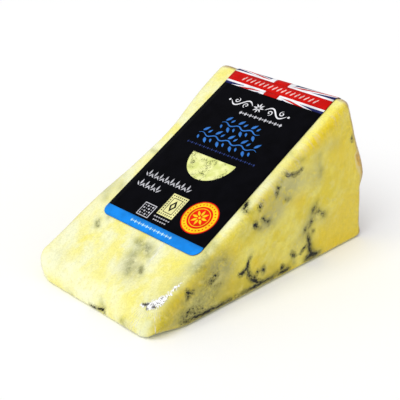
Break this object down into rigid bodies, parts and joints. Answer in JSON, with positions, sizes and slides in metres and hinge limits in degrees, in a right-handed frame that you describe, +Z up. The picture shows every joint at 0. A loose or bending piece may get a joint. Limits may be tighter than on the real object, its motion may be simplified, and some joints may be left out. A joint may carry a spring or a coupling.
{
  "type": "film-wrapped blue cheese wedge",
  "caption": "Wedge of blue-veined cheese lying on a cut face, sealed in tight clear film, with a printed label folded over its high edge.",
  "frame": {"origin": "on the floor, in the middle of the pack's bounding box", "axes": "+X from the cut-off nose to the rind at the back, +Y across from the near flat side to the far one, +Z up"},
  "size_m": [0.0958, 0.0544, 0.0516],
  "materials": {
    "wrapped_cheese": "pale yellow blue-veined cheese under glossy clear film",
    "label": "satin black printed paper with a blue front strip and a red, white and navy band"
  },
  "bodies": {
    "root": {"wrapped_cheese": "wrapped_cheese", "label": "label"}
  },
  "joints": []
}
